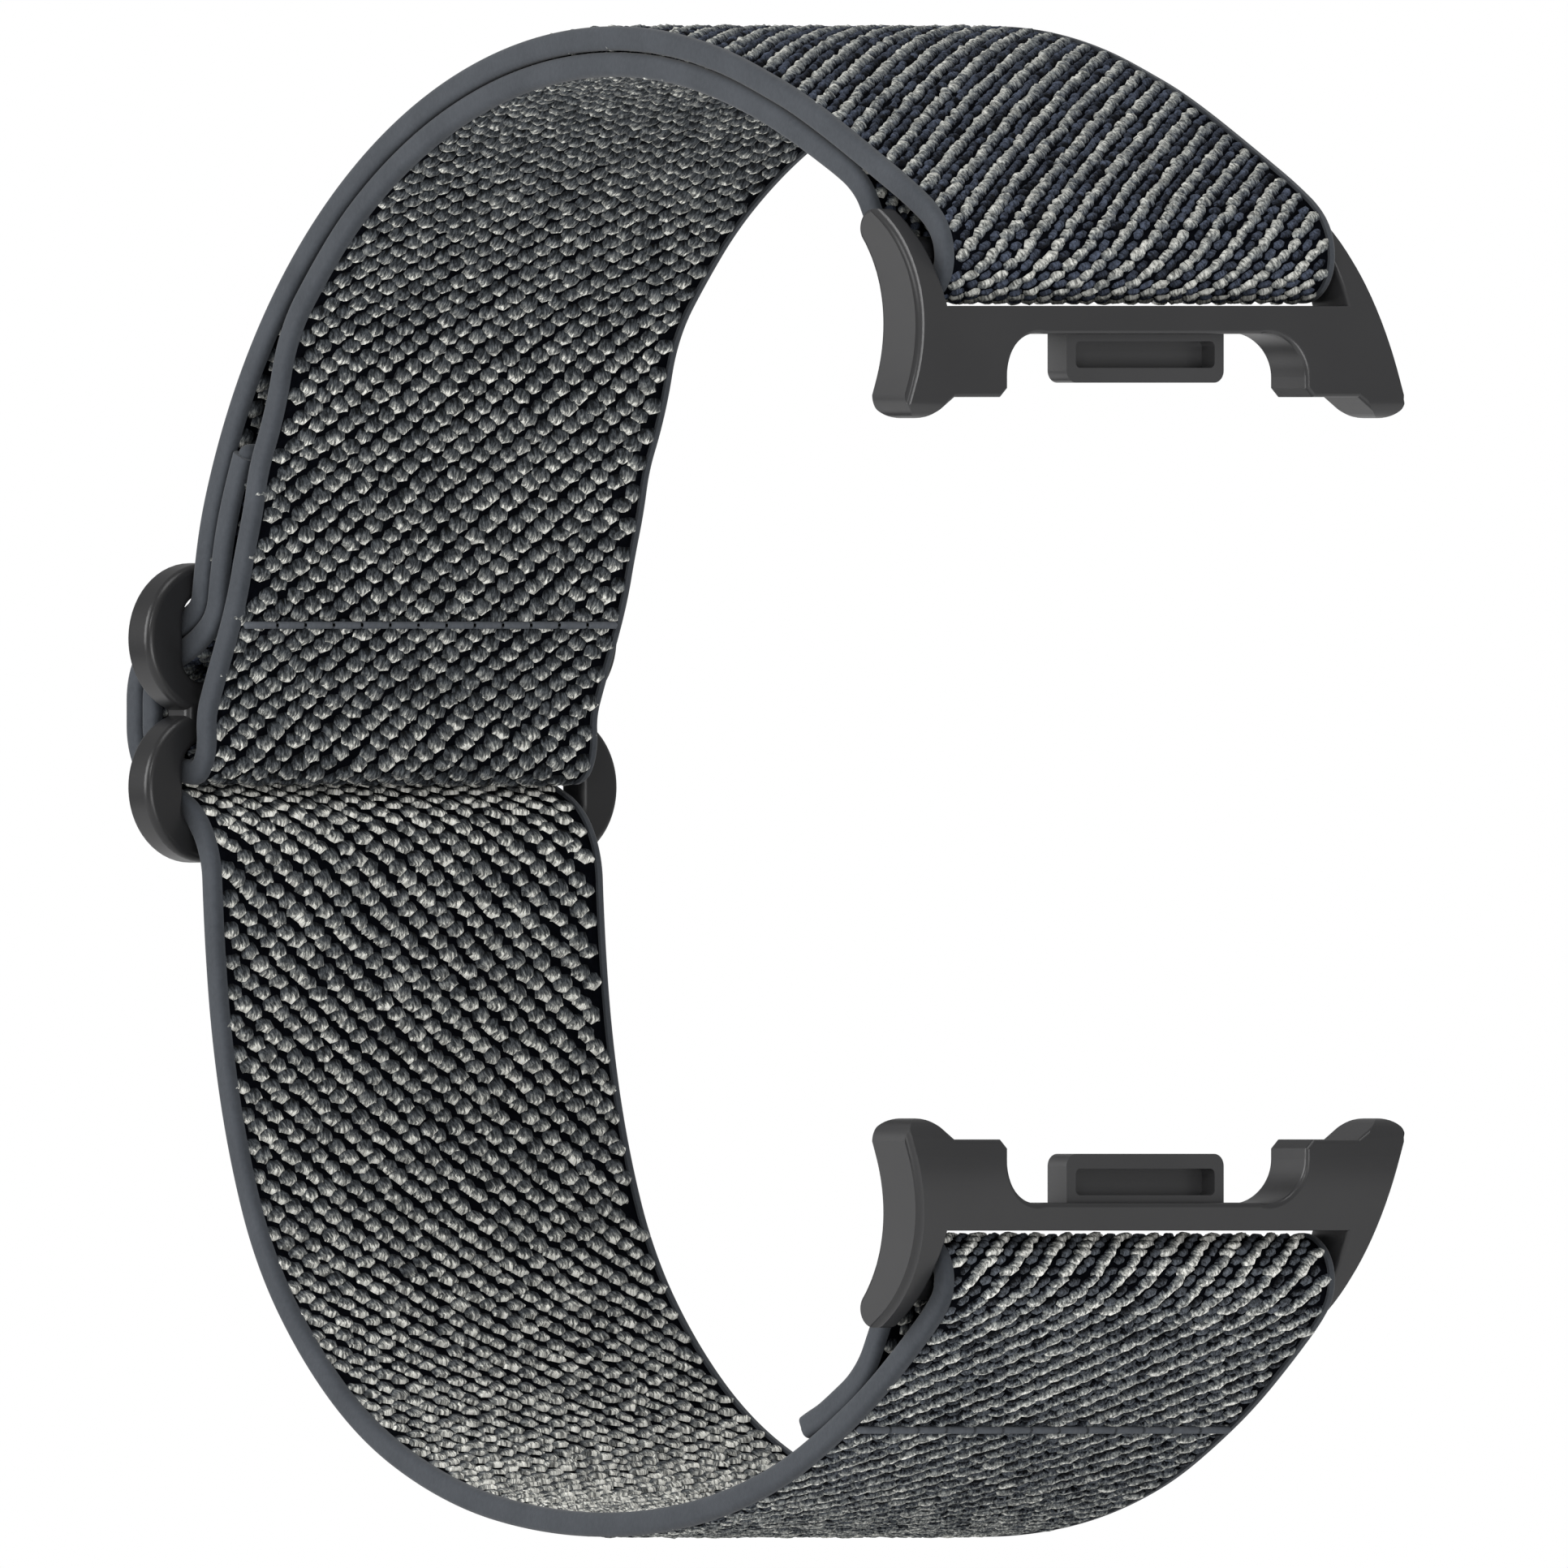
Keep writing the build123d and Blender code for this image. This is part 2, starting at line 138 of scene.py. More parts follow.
class Recipe:
    """A node tree that is filled one node at a time."""

    def __init__(self, tree):
        self.tree = tree

    def add(self, kind, settings=None, sockets=None):
        """Adds a node, sets it up, fills its sockets and gives its first output."""
        node = self.tree.nodes.new(kind)
        for name, value in (settings or {}).items():
            if name == "stops":
                ramp = node.color_ramp
                while len(ramp.elements) < len(value):
                    ramp.elements.new(0.5)
                for element, (place, shade) in zip(ramp.elements, value):
                    element.position, element.color = place, shade
            else:
                setattr(node, name, value)
        for key, value in (sockets or {}).items():
            named = [s for s in node.inputs if s.name == key and s.enabled]
            socket = named[0] if named else node.inputs[key]
            if isinstance(value, Wire):
                self.tree.links.new(value.socket, socket)
            else:
                socket.default_value = value
        shown = [s for s in node.outputs if s.enabled]
        return Wire(self, shown[0]) if shown else node

    def vector(self, x, y, z):
        """Three values joined into a vector."""
        return self.add("ShaderNodeCombineXYZ", None, {"X": x, "Y": y, "Z": z})

    def vector_maths(self, operation, *values):
        """A Vector Math node with its first sockets filled."""
        return self.add("ShaderNodeVectorMath", {"operation": operation}, dict(enumerate(values)))

    def scaled(self, vector, factor):
        """A vector or a colour times a number."""
        values = {0: vector, "Scale": factor}
        return self.add("ShaderNodeVectorMath", {"operation": "SCALE"}, values)

    def mix(self, share, low, high):
        """A colour between two others."""
        settings = {"data_type": "RGBA"}
        return self.add("ShaderNodeMix", settings, {"Factor": share, "A": low, "B": high})


def colour(red, green, blue):
    """A colour written as a screen shows it, from 0 to 255, as Blender's linear values."""
    shown = [v / 255 for v in (red, green, blue)]
    return [v / 12.92 if v < 0.04 else ((v + 0.055) / 1.055) ** 2.4 for v in shown] + [1]


print("wires and recipes are ready")

# %% [markdown]
# ## The route of the elastic
# Each run of elastic lies in one plane, so its middle line is a list of stations: a place and a
# heading. Two tangent arcs join each station to the next, which is how a strip bends: smoothly,
# and without kinks. These are the stations of the solids, so the yarns lie where the solids do.

# %% Stations of the route, in millimetres
loop_height, loop_depth, case_centre_z = 68.2, 61.5, 0.6
crown_radius, crown_setback, buckle_rise = 31.5, 4.05, 0.5
strap_width, strap_thickness, layer_gap, seat_gap = 22.4, 1.12, 0.06, 0.04
buckle_depth, buckle_bar_spacing, buckle_lobe_radius = 1.7, 6.7, 3.41
buckle_ring, buckle_centre_bar, buckle_clearance = 1.46, 2.8, 0.8
buckle_front_gap, buckle_arc_radius, buckle_arc_straight = 0.75, 3.0, 1.2
crossbar_radius, running_gap, crossbar_setback, crossbar_rise = 0.9, 0.12, 3.3, 23.1

half_thickness = strap_thickness / 2
layer_pitch = strap_thickness + layer_gap
back_x, front_x, top_z = -loop_depth / 2, loop_depth / 2, loop_height / 2
crown_centre = (back_x + crown_radius + crown_setback, top_z - crown_radius)
buckle_centre_z = crown_centre[1] + buckle_rise
fold_radius = crossbar_radius + running_gap + half_thickness
buckle_front_x = back_x + 2 * strap_thickness + layer_gap + buckle_front_gap
buckle_back_x = buckle_front_x + buckle_depth
buckle_mid_x = buckle_front_x + buckle_depth / 2
upper_bar_low_z = buckle_centre_z + buckle_bar_spacing / 2 + buckle_lobe_radius - buckle_ring
centre_bar_low_z = buckle_centre_z - buckle_centre_bar / 2
lower_bar_top_z = buckle_centre_z - buckle_bar_spacing / 2 - buckle_lobe_radius + buckle_ring
slot_height = upper_bar_low_z - buckle_centre_z - buckle_centre_bar / 2


def beside(station, distance):
    """A station moved to the left of its heading."""
    x, z, heading = station
    angle = math.radians(heading + 90)
    return x + distance * math.cos(angle), z + distance * math.sin(angle), heading


def on_circle(centre, radius, heading):
    """A station on a circle that is gone round anticlockwise."""
    angle = math.radians(heading - 90)
    return centre[0] + radius * math.cos(angle), centre[1] + radius * math.sin(angle), heading


def turned(station):
    """The same place, passed the other way."""
    return station[0], station[1], station[2] - 180


def on_crown(angle, depth):
    """A station on the crown of the loop, at an angle left of straight up."""
    return on_circle(crown_centre, crown_radius - half_thickness - depth, angle + 180)


def in_loop(x_share, z_share, heading):
    """A station whose middle line passes through shares of the loop."""
    return x_share * loop_depth, z_share * loop_height, heading


def on_outline(x_share, z_share, heading):
    """A station whose outer face passes through shares of the loop."""
    return beside(in_loop(x_share, z_share, heading), half_thickness)


pin_x = front_x - crossbar_setback
upper_pin = (pin_x, case_centre_z + crossbar_rise)
lower_pin = (pin_x, case_centre_z - crossbar_rise)
arc_x = back_x + half_thickness + buckle_arc_radius
arc_top = (arc_x, buckle_centre_z + buckle_arc_straight / 2)
arc_bottom = (arc_x, buckle_centre_z - buckle_arc_straight / 2)
behind_upper_bar = (buckle_back_x + half_thickness + seat_gap, upper_bar_low_z, 262)
in_upper_slot = (buckle_mid_x, upper_bar_low_z - 1.1 * layer_pitch, 205)
in_lower_slot = (buckle_mid_x, lower_bar_top_z + layer_pitch, 337)
outer_arc = [
    on_circle(arc_top, buckle_arc_radius, 215),
    on_circle(arc_top, buckle_arc_radius, 270),
    on_circle(arc_bottom, buckle_arc_radius, 270),
    on_circle(arc_bottom, buckle_arc_radius, 325),
]
behind_slot_z = upper_bar_low_z - slot_height * 0.28
behind_slot = (buckle_back_x + 2.37 * layer_pitch, behind_slot_z, 67.5)
lobe_low_z = buckle_centre_z - buckle_bar_spacing / 2 - buckle_lobe_radius
below_buckle = (buckle_back_x + buckle_clearance, lobe_low_z - buckle_clearance, -87)
shoulder = on_outline(0.3098, 0.4528, 156)
lower_sewn = on_outline(0.3626, -0.4280, 31)

routes = {
    "outer": [
        on_circle(upper_pin, fold_radius, -40),
        on_circle(upper_pin, fold_radius, 25),
        on_circle(upper_pin, fold_radius, 90),
        on_outline(0.4675, 0.3765, 135),
        on_outline(0.4390, 0.3944, 150),
        on_outline(0.3977, 0.4141, 153),
        shoulder,
        on_crown(-19, 0),
        on_crown(0, 0),
        on_crown(40, 0),
        on_crown(71, 0),
        behind_upper_bar,
        in_upper_slot,
        *outer_arc,
        in_lower_slot,
    ],
    "inner": [
        on_crown(66, layer_pitch),
        on_crown(71, layer_pitch),
        beside(behind_upper_bar, layer_pitch),
        beside(in_upper_slot, layer_pitch),
        *[beside(station, layer_pitch) for station in outer_arc],
        (buckle_mid_x - slot_height / 20, centre_bar_low_z - slot_height * 0.3, 352),
        (buckle_back_x + slot_height / 6, centre_bar_low_z - slot_height * 0.24, 60),
        (buckle_back_x + layer_pitch, buckle_centre_z + strap_thickness / 2, 67),
        behind_slot,
        turned(on_crown(72, 2.4 * layer_pitch)),
        turned(on_crown(64, 2.1 * layer_pitch)),
        turned(on_crown(50, 1.1 * layer_pitch)),
        turned(on_crown(38, layer_pitch)),
        turned(on_crown(0, layer_pitch)),
        turned(on_crown(-14, layer_pitch)),
        turned(beside(shoulder, layer_pitch)),
        turned(beside(on_outline(0.3500, 0.4359, 154.5), layer_pitch)),
        in_loop(0.3735, 0.3933, -43),
        in_loop(0.3906, 0.3710, -57),
        on_circle(upper_pin, fold_radius, -40),
    ],
    "lower": [
        in_lower_slot,
        beside(below_buckle, half_thickness),
        on_outline(-0.3898, -0.2060, -77),
        on_outline(-0.3190, -0.3526, -52),
        on_outline(-0.1857, -0.4523, -26),
        on_outline(0.0663, -0.5, 0),
        on_outline(0.2663, -0.4710, 19.5),
        lower_sewn,
        on_outline(0.4501, -0.3701, 40),
        on_circle(lower_pin, fold_radius, 50),
        on_circle(lower_pin, fold_radius, 90),
        on_circle(lower_pin, fold_radius, 150),
        on_circle(lower_pin, fold_radius, 234),
        turned(in_loop(0.3946, -0.3630, 62)),
        turned(in_loop(0.3766, -0.3896, 48)),
        turned(beside(on_outline(0.3480, -0.4385, 29.5), layer_pitch)),
        turned(beside(on_outline(0.3195, -0.4503, 26), layer_pitch)),
    ],
}
print("stations", {name: len(stations) for name, stations in routes.items()})

# %% [markdown]
# A station and the next one fix where their two arcs meet. A point part of the way along an arc
# lies on a chord that has turned by the same part of half the arc's turn, so an arc is easy to
# divide evenly. The result is a chain of edges, which the recipes below turn into a curve.

# %% Divide the route into short steps
route_step = 0.22
straight_turn = 0.0005


def meeting_point(start, end):
    """Where the two tangent arcs between two stations meet."""
    a = Vector((math.cos(math.radians(start[2])), math.sin(math.radians(start[2]))))
    b = Vector((math.cos(math.radians(end[2])), math.sin(math.radians(end[2]))))
    run = Vector(end[:2]) - Vector(start[:2])
    ahead = run.dot(a + b)
    root = math.sqrt(ahead**2 + 2 * (1 - a.dot(b)) * run.length_squared)
    reach = run.length_squared / (ahead + root)
    near = Vector(start[:2]) + reach * a
    far = Vector(end[:2]) - reach * b
    middle = (near + far) / 2
    return middle.x, middle.y, math.degrees(math.atan2(far.y - near.y, far.x - near.x))


def arc_points(start, end):
    """Points along the arc that leaves a station and ends in the next one, without its end."""
    run = Vector(end[:2]) - Vector(start[:2])
    half_turn = math.atan2(run.y, run.x) - math.radians(start[2])
    half_turn = (half_turn + math.pi) % (2 * math.pi) - math.pi
    straight = abs(half_turn) < straight_turn
    arc = run.length if straight else run.length * half_turn / math.sin(half_turn)
    steps = max(2, math.ceil(arc / route_step))
    points = []
    for step in range(steps):
        part = step / steps
        reach = part if straight else math.sin(half_turn * part) / math.sin(half_turn)
        angle = math.radians(start[2]) + half_turn * part
        x = start[0] + run.length * reach * math.cos(angle)
        z = start[1] + run.length * reach * math.sin(angle)
        points.append((x, z))
    return points


def route_mesh(name, stations):
    """The middle line of a run, as a chain of edges in metres."""
    points = []
    for start, end in zip(stations, stations[1:]):
        middle = meeting_point(start, end)
        points += arc_points(start, middle) + arc_points(middle, end)
    points.append(stations[-1][:2])
    mesh = bpy.data.meshes.new(name)
    places = [(x * mm, 0, z * mm) for x, z in points]
    mesh.from_pydata(places, [(i, i + 1) for i in range(len(points) - 1)], [])
    return mesh


route_meshes = {name: route_mesh(f"route_{name}", routes[name]) for name in routes}
print("route steps", {name: len(mesh.edges) for name, mesh in route_meshes.items()})

# %% [markdown]
# ## Recipes in Geometry Nodes
# A recipe is built once and run on every run of elastic. Running it means: give a carrier object
# the modifier, fill in its named inputs, evaluate it, and keep the result as a plain mesh.

# %% Start a recipe and run one
kinds = {
    float: "NodeSocketFloat",
    int: "NodeSocketInt",
    "object": "NodeSocketObject",
    "material": "NodeSocketMaterial",
}


def geometry_recipe(name, inputs):
    """An empty recipe with named inputs. It gives the recipe, its input wires and its tree."""
    tree = bpy.data.node_groups.new(name, "GeometryNodeTree")
    tree.interface.new_socket("Geometry", in_out="INPUT", socket_type="NodeSocketGeometry")
    tree.interface.new_socket("Geometry", in_out="OUTPUT", socket_type="NodeSocketGeometry")
    for label, kind in inputs.items():
        tree.interface.new_socket(label, in_out="INPUT", socket_type=kinds[kind])
    recipe = Recipe(tree)
    start = recipe.add("NodeGroupInput")
    return recipe, {label: start.output(label) for label in ("Geometry", *inputs)}, tree


def close_recipe(recipe, geometry, material):
    """Ends a recipe by giving the geometry its material."""
    sockets = {"Geometry": geometry, "Material": material}
    finished = recipe.add("GeometryNodeSetMaterial", None, sockets)
    recipe.add("NodeGroupOutput", None, {"Geometry": finished})


def run_recipe(name, source, tree, values):
    """Runs a recipe on a source mesh and keeps the result as a piece of its own."""
    carrier = link_object(f"{name}_carrier", source)
    modifier = carrier.modifiers.new("recipe", "NODES")
    modifier.node_group = tree
    for item in tree.interface.items_tree:
        if item.in_out == "INPUT" and item.name in values:
            modifier[item.identifier] = values[item.name]
    graph = bpy.context.evaluated_depsgraph_get()
    mesh = bpy.data.meshes.new_from_object(carrier.evaluated_get(graph), depsgraph=graph)
    bpy.data.objects.remove(carrier)
    mesh.name = name
    mesh.calc_loop_triangles()
    print(name, len(mesh.loop_triangles), "triangles")
    return link_object(name, mesh)


# %% [markdown]
# ### Elastic core and edge
# Both follow the route with a fixed outline, which is what Curve to Mesh does. The curve's
# normals are set square to the strip by hand, so that the outline never twists.

# %% Recipe: an outline swept along the route
sweep, sweep_in, sweep_tree = geometry_recipe(
    "swept_outline", {"Outline": "object", "Material": "material"}
)
sweep_line = sweep.add("GeometryNodeMeshToCurve", None, {"Mesh": sweep_in["Geometry"]})
sweep_heading = sweep.add("GeometryNodeInputTangent")
across_strip = (0.0, 1.0, 0.0)
sweep_normal = sweep.vector_maths("CROSS_PRODUCT", sweep_heading, across_strip)
sweep_square = sweep.add(
    "GeometryNodeSetCurveNormal", {"mode": "FREE"}, {"Curve": sweep_line, "Normal": sweep_normal}
)
outline = sweep.add("GeometryNodeObjectInfo", None, {"Object": sweep_in["Outline"]})
profile = sweep.add("GeometryNodeMeshToCurve", None, {"Mesh": outline.output("Geometry")})
sweep_ends = {"Curve": sweep_square, "Profile Curve": profile, "Fill Caps": True}
swept = sweep.add("GeometryNodeCurveToMesh", None, sweep_ends)
close_recipe(sweep, swept, sweep_in["Material"])
print("recipe", sweep_tree.name, len(sweep_tree.nodes), "nodes")

# %% [markdown]
# ### Raised yarns
# The face of the elastic is covered in short raised yarns. They stand in rows across the strip,
# and each row is shifted by about a third of their spacing, which draws the diagonal lines of a
# twill. A texture would lie flat at the edges of the strip, so every yarn is a small shape here.
# Random places, sizes, turns and tones, and frayed outlines, keep it from looking printed.

# %% Recipe: rows of yarn on one face
weave, weave_in, weave_tree = geometry_recipe(
    "yarn_rows",
    {
        "Yarn": "object",
        "Row spacing": float,
        "Column spacing": float,
        "Columns": int,
        "First column": float,
        "Shift": float,
        "Half width": float,
        "Face": float,
        "Lift": float,
        "Bright end": float,
        "Slant": float,
        "Scatter": float,
        "Fray": float,
        "Seed": int,
        "Material": "material",
    },
)

# %% [markdown]
# Two steps of the recipe are needed more than once, so each is a function.


# %% Steps of the weave
def face_normal(heading):
    """The direction out of the face, square to the strip's heading."""
    parts = weave.add("ShaderNodeSeparateXYZ", None, {"Vector": heading})
    x, z = parts.output("X"), parts.output("Z")
    return weave.vector(z * weave_in["Face"] * -1.0, 0.0, x * weave_in["Face"])


def chance(low, high, seed):
    """A random vector for each yarn. The seed tells its draws apart."""
    limits = {"Min": low, "Max": high, "Seed": weave_in["Seed"] + seed}
    drawn = weave.add("FunctionNodeRandomValue", {"data_type": "FLOAT_VECTOR"}, limits)
    return weave.add("ShaderNodeSeparateXYZ", None, {"Vector": drawn})


# %% [markdown]
# The middle line is moved out to the face, so the rows keep their spacing round a fold. Each seat
# of a yarn is a point that works out its row and its column from its number.

# %% Seats of the yarns
weave_line = weave.add("GeometryNodeMeshToCurve", None, {"Mesh": weave_in["Geometry"]})
lift = weave.scaled(face_normal(weave.add("GeometryNodeInputTangent")), weave_in["Lift"])
face_line = weave.add("GeometryNodeSetPosition", None, {"Geometry": weave_line, "Offset": lift})
face_length = weave.add("GeometryNodeCurveLength", None, {"Curve": face_line})
rows = (face_length / weave_in["Row spacing"]).maths("FLOOR")
seats = weave.add("GeometryNodePoints", None, {"Count": rows * weave_in["Columns"]})
seat_index = weave.add("GeometryNodeInputIndex")
row = (seat_index / weave_in["Columns"]).maths("FLOOR")
column = seat_index - row * weave_in["Columns"] + weave_in["First column"]
stagger = (row * weave_in["Shift"]).maths("FRACT")
scatter = chance((-1, -1, 0), (1, 1, 0), seed=3)
side_place = (column + stagger - weave_in["Columns"] * 0.5) * weave_in["Column spacing"]
side_place = side_place + scatter.output("X") * weave_in["Scatter"]
along_place = (row + 0.5) * weave_in["Row spacing"] + scatter.output("Y") * weave_in["Scatter"]
face_sample = weave.add(
    "GeometryNodeSampleCurve", {"mode": "LENGTH"}, {"Curves": face_line, "Length": along_place}
)
seat_normal = face_normal(face_sample.output("Tangent"))
seat_place = weave.vector_maths(
    "ADD", face_sample.output("Position"), weave.vector(0.0, side_place, 0.0)
)
placed = weave.add("GeometryNodeSetPosition", None, {"Geometry": seats, "Position": seat_place})
inside = side_place.maths("ABSOLUTE").maths("LESS_THAN", weave_in["Half width"])

# %% [markdown]
# A yarn stands square to the face, and chance turns and sizes it a little. The Selection leaves
# out the seats past the edge. If they were deleted instead, the rest would be numbered anew, and
# each yarn would get another seat's turn.

# %% Turn and size of the yarns
lean_low, lean_high = (0.06, -0.12, -0.26), (0.32, 0.12, 0.26)
size_low, size_high = (0.88, 0.86, 0.88), (1.08, 1.08, 1.1)
flip = weave_in["Face"] * weave_in["Bright end"] * -1.0
facing = weave.add(
    "FunctionNodeAxesToRotation",
    {"primary_axis": "Z", "secondary_axis": "X"},
    {"Primary Axis": seat_normal, "Secondary Axis": weave.vector(0.0, flip, 0.0)},
)
turn = chance(lean_low, lean_high, seed=0)
slanted = turn.output("Z") + weave_in["Slant"]
angles = weave.vector(turn.output("X"), turn.output("Y"), slanted)
turned_by = weave.add("FunctionNodeEulerToRotation", None, {"Euler": angles})
resting = weave.add(
    "FunctionNodeRotateRotation",
    {"rotation_space": "LOCAL"},
    {"Rotation": facing, "Rotate By": turned_by},
)
growth = chance(size_low, size_high, seed=1)
yarn_info = weave.add("GeometryNodeObjectInfo", None, {"Object": weave_in["Yarn"]})
sown = weave.add(
    "GeometryNodeInstanceOnPoints",
    None,
    {
        "Points": placed,
        "Selection": inside,
        "Instance": yarn_info.output("Geometry"),
        "Rotation": resting,
        "Scale": weave.vector(growth.output("X"), growth.output("Y"), growth.output("Z")),
    },
)

# %% [markdown]
# Each yarn carries a tone of its own, which its finish reads. Fine noise pulls the points of its
# mesh about, as loose fibres do.

# %% Tone and frayed outline
fray_grain = 5200.0
tone_limits = {"Min": 0.0, "Max": 1.0, "Seed": weave_in["Seed"] + 2}
tone = weave.add("FunctionNodeRandomValue", {"data_type": "FLOAT"}, tone_limits)
toned = weave.add(
    "GeometryNodeStoreNamedAttribute",
    {"data_type": "FLOAT", "domain": "INSTANCE"},
    {"Geometry": sown, "Name": "tone", "Value": tone},
)
single = weave.add("GeometryNodeRealizeInstances", None, {"Geometry": toned})
fibre_place = weave.add("GeometryNodeInputPosition")
fray_noise = {"Vector": fibre_place, "Scale": fray_grain, "Detail": 1.0}
ragged = weave.add("ShaderNodeTexNoise", None, fray_noise)
pull = weave.vector_maths("SUBTRACT", ragged.output("Color"), (0.5, 0.5, 0.5))
pulled = weave.scaled(pull, weave_in["Fray"])
frayed = weave.add("GeometryNodeSetPosition", None, {"Geometry": single, "Offset": pulled})
close_recipe(weave, frayed, weave_in["Material"])
print("recipe", weave_tree.name, len(weave_tree.nodes), "nodes")

# %% [markdown]
# ### Sewing thread
# A seam is sewn straight across the strip. Its stitches overlap a little, so that they read as
# one line. The recipe starts from a single point on the face.

# %% Recipe: a row of stitches
sewing, sewing_in, sewing_tree = geometry_recipe(
    "stitch_row",
    {"Stitch": "object", "Spacing": float, "Count": int, "Tilt": float, "Material": "material"},
)
holes = sewing.add("GeometryNodePoints", None, {"Count": sewing_in["Count"]})
hole_index = sewing.add("GeometryNodeInputIndex")
hole_y = (hole_index - (sewing_in["Count"] - 1.0) * 0.5) * sewing_in["Spacing"]
seam_corner = sewing.add(
    "GeometryNodeSampleIndex",
    {"data_type": "FLOAT_VECTOR"},
    {"Geometry": sewing_in["Geometry"], "Value": sewing.add("GeometryNodeInputPosition")},
)
hole_place = sewing.vector_maths("ADD", seam_corner, sewing.vector(0.0, hole_y, 0.0))
pierced = sewing.add("GeometryNodeSetPosition", None, {"Geometry": holes, "Position": hole_place})
stitch_info = sewing.add("GeometryNodeObjectInfo", None, {"Object": sewing_in["Stitch"]})
sewn = sewing.add(
    "GeometryNodeInstanceOnPoints",
    None,
    {
        "Points": pierced,
        "Instance": stitch_info.output("Geometry"),
        "Rotation": sewing.vector(0.0, sewing_in["Tilt"], 0.0),
    },
)
stitches = sewing.add("GeometryNodeRealizeInstances", None, {"Geometry": sewn})
close_recipe(sewing, stitches, sewing_in["Material"])
print("recipe", sewing_tree.name, len(sewing_tree.nodes), "nodes")

# %% [markdown]
# ## Finishes
# Every finish is built from noise and the piece's own coordinates, with no image texture. The
# yarn is a blend of dark slate and pale grey fibres, with fibres that run along it. Each raised
# yarn also carries painted shade, near black where it dives under the yarn above, and painted
# light at its pale end. The functions do the wiring.


# %% Start a finish
def finish(name, roughness, specular=0.5):
    """A material with its recipe and its principled shader."""
    material = bpy.data.materials.new(name)
    material.use_nodes = True
    recipe = Recipe(material.node_tree)
    shader = material.node_tree.nodes["Principled BSDF"]
    shader.inputs["Roughness"].default_value = roughness
    shader.inputs["Specular IOR Level"].default_value = specular
    return material, recipe, shader


def own_place(recipe):
    """The piece's own coordinates, in metres."""
    return recipe.add("ShaderNodeTexCoord").output("Object")


def connect(recipe, shader, **wires):
    """Joins wires to the shader's sockets."""
    for name, wire in wires.items():
        socket = shader.inputs[name.replace("_", " ").title()]
        recipe.tree.links.new(wire.socket, socket)


def grain(recipe, place, scale, detail=3.0, rough=0.55):
    """Noise that is read at a place."""
    values = {"Vector": place, "Scale": scale, "Detail": detail, "Roughness": rough}
    return recipe.add("ShaderNodeTexNoise", None, values)


def relief(recipe, height, strength, distance):
    """Turns a height into bumps in the surface."""
    values = {"Height": height, "Strength": strength, "Distance": distance}
    return recipe.add("ShaderNodeBump", None, values)


# %% [markdown]
# A yarn is spun from many fibres. Noise that is drawn out along the yarn gives the strands, and a
# ramp goes from painted shade at the dark end to painted light at the pale one. The yarn's tone
# moves both, so no two are alike. Two of the five finishes are darker, for the valleys between the
# pale yarns of the outside.


# %% Finish: the yarns of the two faces
strands_across, strands_along = 9.0, 2.4
tone_across, tone_deep = 57.0, 91.0
strand_faint, strand_clear, strand_sway = 0.34, 0.66, 0.34


def yarn_finish(name, stops, contrast, vary):
    """Strands along each yarn, over painted shade at its dark end and painted light at its pale
    one.
    A stop is a place on the way from its dark end to its pale one, with a colour from 0 to 255."""
    material, recipe, shader = finish(name, roughness=0.85, specular=0.2)
    own = recipe.add("ShaderNodeUVMap", {"uv_map": "yarn"})
    parts = recipe.add("ShaderNodeSeparateXYZ", None, {"Vector": own})
    across, along = parts.output("X"), parts.output("Y")
    own_tone = recipe.add("ShaderNodeAttribute", {"attribute_name": "tone"}).output("Fac")
    across = across * strands_across + own_tone * tone_across
    strand_place = recipe.vector(across, along * strands_along, own_tone * tone_deep)
    strands = grain(recipe, strand_place, 1.0, 3.0, 0.65).output("Fac")
    limits = {"Value": strands, "From Min": strand_faint, "From Max": strand_clear}
    clear = recipe.add("ShaderNodeMapRange", None, limits)
    blend = along + (clear - 0.5) * strand_sway + (own_tone - 0.5) * vary
    # The ramp is painted shade, near black, at the dark end and painted light at the pale end.
    ramp = [(place, colour(*shade)) for place, *shade in stops]
    shades = recipe.add("ShaderNodeValToRGB", {"stops": ramp}, {"Fac": blend})
    share = clear * contrast + (1.0 - contrast / 2)
    connect(
        recipe,
        shader,
        base_color=recipe.scaled(shades, share),
        normal=relief(recipe, strands, strength=0.6, distance=0.00012),
    )
    return material


# Each list runs from painted shade at the dark end to painted light at the pale end.
inner_stops = [(0, 5, 6, 8), (0.24, 34, 38, 42), (0.55, 76, 80, 84)]
inner_stops += [(0.8, 128, 130, 128), (1, 232, 231, 223)]
outer_stops = [(0, 20, 24, 34), (0.25, 78, 83, 90), (0.6, 130, 133, 131), (1, 184, 184, 178)]
# The lower outside is the same cloth as the outside. Its two lists reach paler colours, as painted
# light on a face that turns down.
lower_lit_stops = [(0, 10, 13, 20), (0.2, 70, 75, 82), (0.55, 140, 143, 141), (1, 236, 235, 228)]
valley_stops = [(0, 4, 6, 14), (1, 70, 77, 92)]
lower_valley_lit_stops = [(0, 8, 10, 16), (1, 92, 97, 104)]
inner_yarn = yarn_finish("inner_face_yarn", inner_stops, contrast=1.3, vary=0.1)
outer_yarn = yarn_finish("outer_face_yarn", outer_stops, contrast=1.4, vary=0.3)
lower_lit_yarn = yarn_finish("lower_outside_yarn_painted_light", lower_lit_stops, contrast=1.4, vary=0.3)
valley_yarn = yarn_finish("valley_yarn", valley_stops, contrast=1.3, vary=0.9)
lower_valley_yarn_painted_light = yarn_finish("lower_valley_yarn_painted_light", lower_valley_lit_stops, contrast=1.3, vary=0.7)
yarn_finishes = (inner_yarn, outer_yarn, lower_lit_yarn, valley_yarn, lower_valley_yarn_painted_light)
print("yarn finishes", [material.name for material in yarn_finishes])
